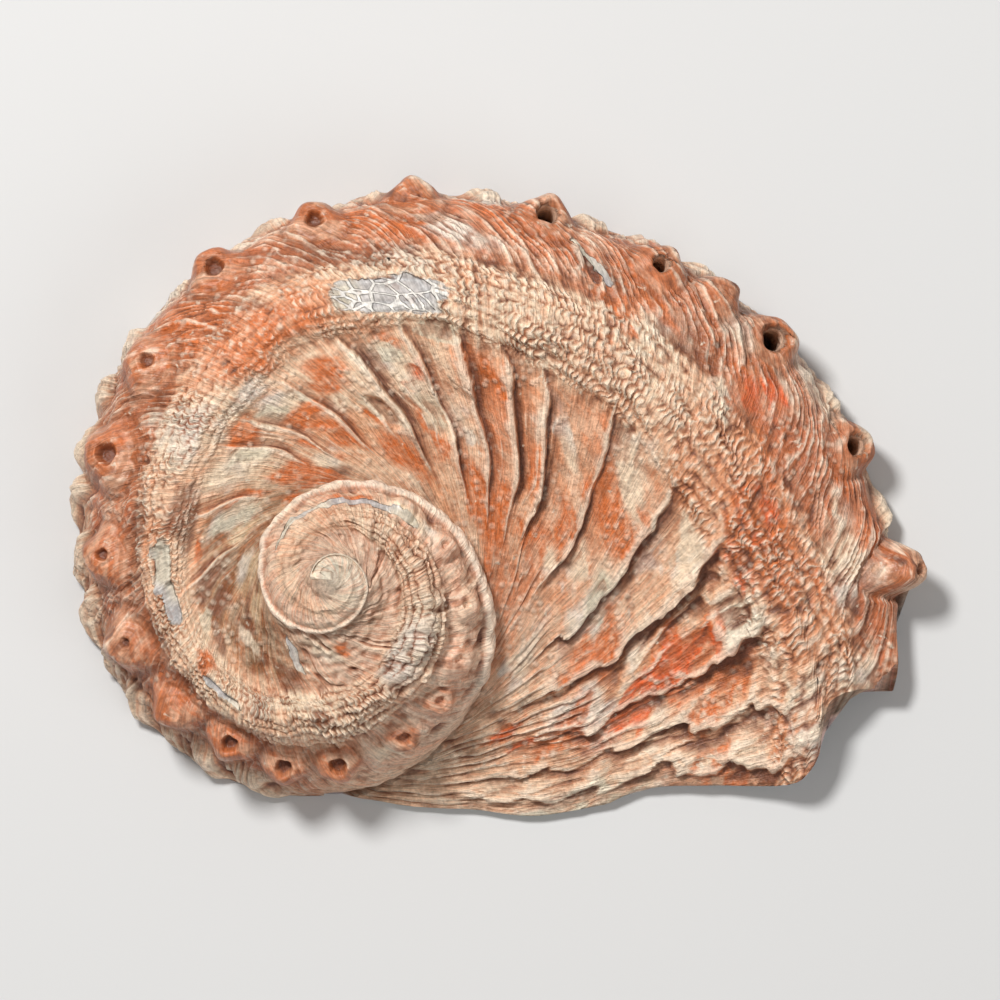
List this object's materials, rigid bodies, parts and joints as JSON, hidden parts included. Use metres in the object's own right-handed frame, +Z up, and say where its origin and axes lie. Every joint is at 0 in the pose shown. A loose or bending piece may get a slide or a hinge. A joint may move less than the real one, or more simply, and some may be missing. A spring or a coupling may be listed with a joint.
{
  "type": "staircase abalone shell",
  "caption": "Ear-shaped spiral sea shell lying on its rim: raised rib, radial folds, a row of tube-like holes along the edge, hollow pearly underside.",
  "frame": {"origin": "below the middle of the shell, on the surface it rests on", "axes": "+X along the length, from the spire's end towards the front lip; +Y across, towards the row of holes; +Z up, out of the sculptured back"},
  "size_m": [0.0794, 0.0598, 0.0205],
  "materials": {
    "shell": "natural shell: orange, cream and salmon blotches, satin, finely scaled, pearly inside"
  },
  "bodies": {
    "root": {"shell": "shell"}
  },
  "joints": []
}
